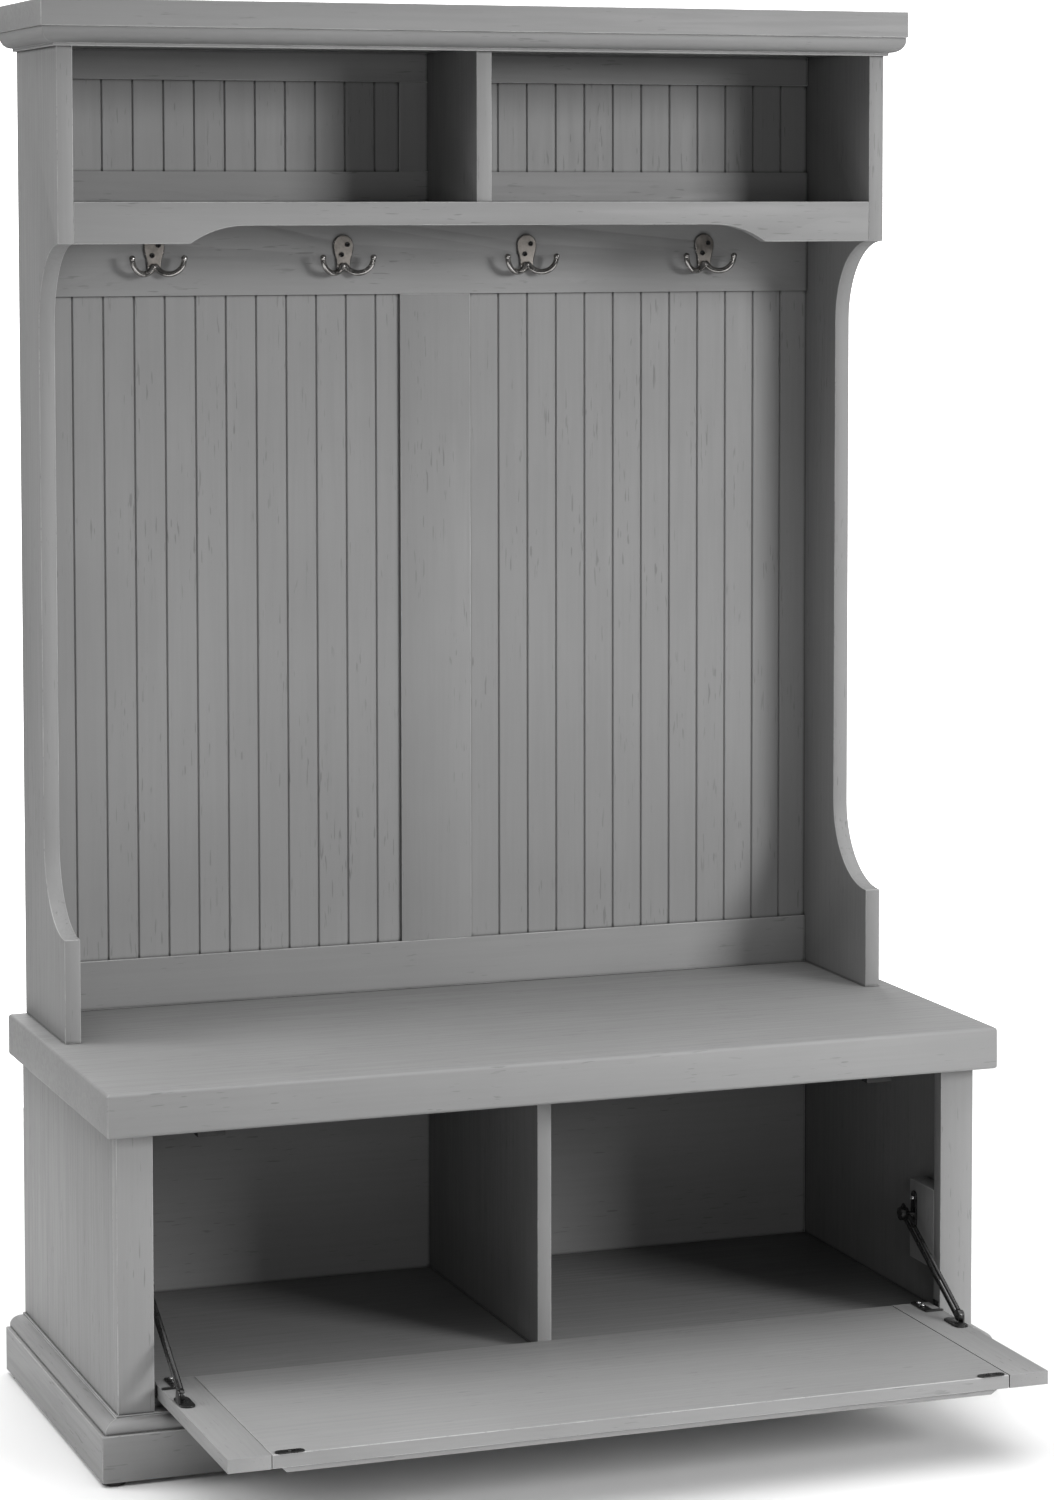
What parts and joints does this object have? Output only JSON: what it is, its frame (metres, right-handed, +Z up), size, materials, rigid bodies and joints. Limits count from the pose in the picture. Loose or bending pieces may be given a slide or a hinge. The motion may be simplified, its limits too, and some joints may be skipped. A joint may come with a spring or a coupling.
{
  "type": "hall tree with hooks",
  "caption": "Hall tree: a bench with a drop-down front flap on stays, a grooved back with double coat hooks, and open cubbies under a moulded crown.",
  "frame": {"origin": "on the floor under the middle of the object's box, with the flap open", "axes": "+X to the right seen from the front, +Y to the back (wall side), +Z up"},
  "size_m": [1.15, 0.7825, 1.73],
  "materials": {
    "painted_wood": "satin grey paint with fine distressed grain",
    "hook_metal": "brushed dark nickel",
    "black_metal": "satin black",
    "catch_plastic": "matt black",
    "glide_plastic": "matt black"
  },
  "bodies": {
    "cabinet": {"crown_board": "painted_wood", "crown_moulding_front": "painted_wood", "crown_moulding_left": "painted_wood", "crown_moulding_right": "painted_wood", "hutch_top": "painted_wood", "hutch_side_left": "painted_wood", "hutch_side_right": "painted_wood", "cubby_shelf": "painted_wood", "cubby_valance": "painted_wood", "cubby_divider": "painted_wood", "back_rail_top": "painted_wood", "back_rail_hooks": "painted_wood", "back_rail_bottom": "painted_wood", "back_mid_stile": "painted_wood", "beadboard_left": "painted_wood", "beadboard_right": "painted_wood", "seat_slab": "painted_wood", "seat_cleats": "painted_wood", "bench_side_left": "painted_wood", "bench_side_right": "painted_wood", "bench_stile_left": "painted_wood", "bench_stile_right": "painted_wood", "bench_front_rail": "painted_wood", "bench_back": "painted_wood", "bench_floor": "painted_wood", "bench_divider": "painted_wood", "plinth_front": "painted_wood", "plinth_left": "painted_wood", "plinth_right": "painted_wood", "plinth_moulding_front": "painted_wood", "plinth_moulding_left": "painted_wood", "plinth_moulding_right": "painted_wood", "stay_block_left": "painted_wood", "stay_block_right": "painted_wood", "hook_1": "hook_metal", "hook_2": "hook_metal", "hook_3": "hook_metal", "hook_4": "hook_metal", "hook_screws": "hook_metal", "floor_glides": "glide_plastic", "door_catches": "catch_plastic", "stay_bracket_left": "black_metal", "stay_bracket_right": "black_metal", "hinge_cup_left": "black_metal", "hinge_cup_right": "black_metal"},
    "flap": {"flap_panel": "painted_wood", "flap_end_left": "painted_wood", "flap_end_right": "painted_wood", "flap_field": "painted_wood", "hinge_leaf_left": "black_metal", "hinge_leaf_right": "black_metal", "stay_foot_left": "black_metal", "stay_foot_right": "black_metal", "strike_plates": "black_metal"},
    "stay_arm_left": {"stay_arm_left": "black_metal"},
    "stay_arm_right": {"stay_arm_right": "black_metal"}
  },
  "joints": [
    {"name": "flap_hinge", "type": "hinge", "parent": "cabinet", "child": "flap", "pos_m": [0, -0.0823, 0.098], "axis": [-1, 0, 0], "range_deg": [0, 90]},
    {"name": "stay_pivot_left", "type": "hinge", "parent": "flap", "child": "stay_arm_left", "pos_m": [-0.4944, -0.1663, 0.117], "axis": [1, 0, 0], "range_deg": [0, 73.5]},
    {"name": "stay_pivot_right", "type": "hinge", "parent": "flap", "child": "stay_arm_right", "pos_m": [0.4944, -0.1663, 0.117], "axis": [1, 0, 0], "range_deg": [0, 73.5]}
  ],
  "couplings": [
    {"joint": "stay_pivot_left", "follows": "flap_hinge", "ratio": 0.8166},
    {"joint": "stay_pivot_right", "follows": "flap_hinge", "ratio": 0.8166}
  ]
}
